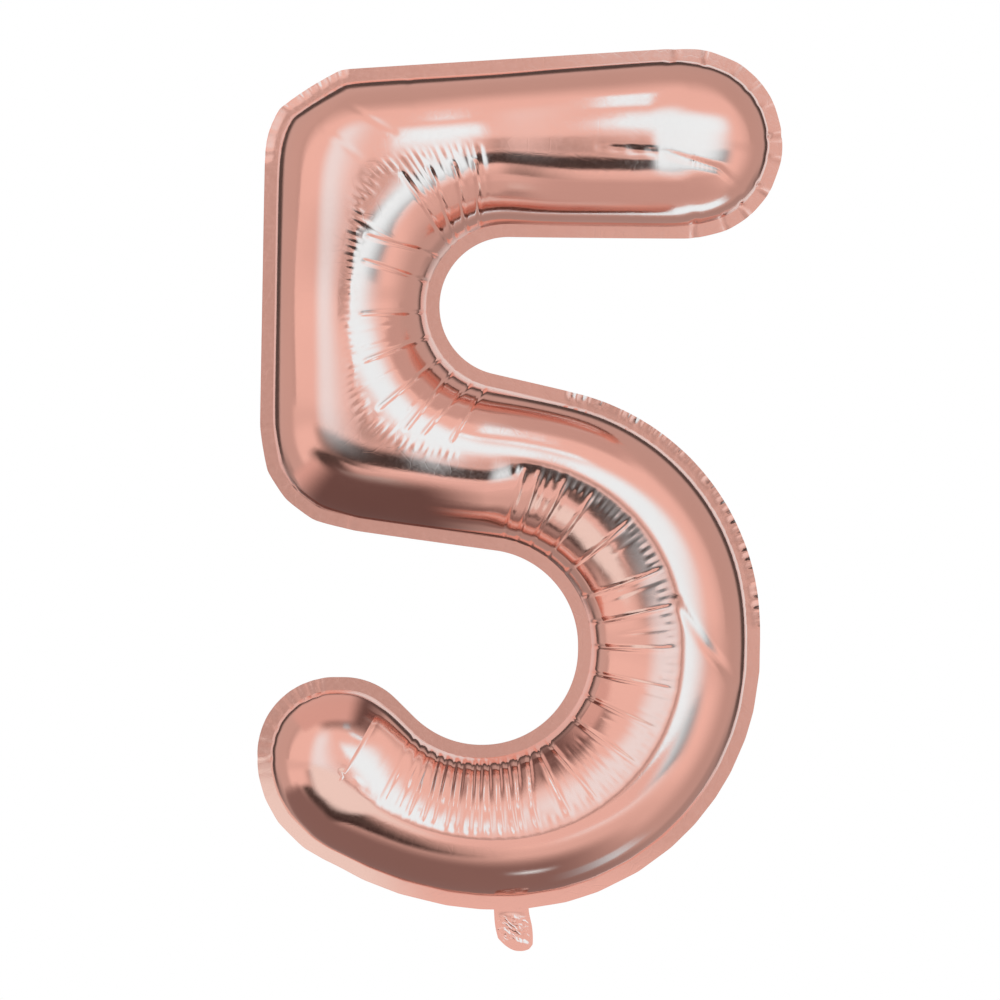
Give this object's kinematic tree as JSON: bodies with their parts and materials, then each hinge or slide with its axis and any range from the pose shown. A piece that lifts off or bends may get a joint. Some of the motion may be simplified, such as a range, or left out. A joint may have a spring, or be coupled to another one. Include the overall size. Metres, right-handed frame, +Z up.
{
  "type": "foil number balloon",
  "caption": "Inflated foil balloon in the shape of the numeral five, two heat-sealed panels with a flat seal band and a folding fill tail with a self-sealing valve.",
  "frame": {"origin": "middle of the line where the fill tail leaves the balloon's lower cut edge, where a ribbon is tied, in the seal plane", "axes": "+Z up the numeral, +X to the right of a reader who faces the front, +Y from the front towards the back"},
  "size_m": [0.5285, 0.1694, 0.9069],
  "materials": {
    "foil": "metallised film, rose gold, glossy",
    "seal_bond": "melted polyethylene under metallised film",
    "valve_film": "translucent polyethylene film",
    "release_ink": "printed release coating"
  },
  "bodies": {
    "balloon": {"front_foil": "foil", "back_foil": "foil", "heat_seal": "seal_bond", "valve_front_film": "valve_film", "valve_back_film": "valve_film", "valve_release_ink": "release_ink"},
    "tail": {"tail_front_leaf": "foil", "tail_back_leaf": "foil", "tail_seal_left": "seal_bond", "tail_seal_right": "seal_bond", "valve_mouth_front": "valve_film", "valve_mouth_back": "valve_film"}
  },
  "joints": [
    {"name": "tail_fold", "type": "hinge", "parent": "balloon", "child": "tail", "pos_m": [0, 0, -0.0022], "axis": [1, 0, 0], "range_deg": [-110, 110]}
  ]
}
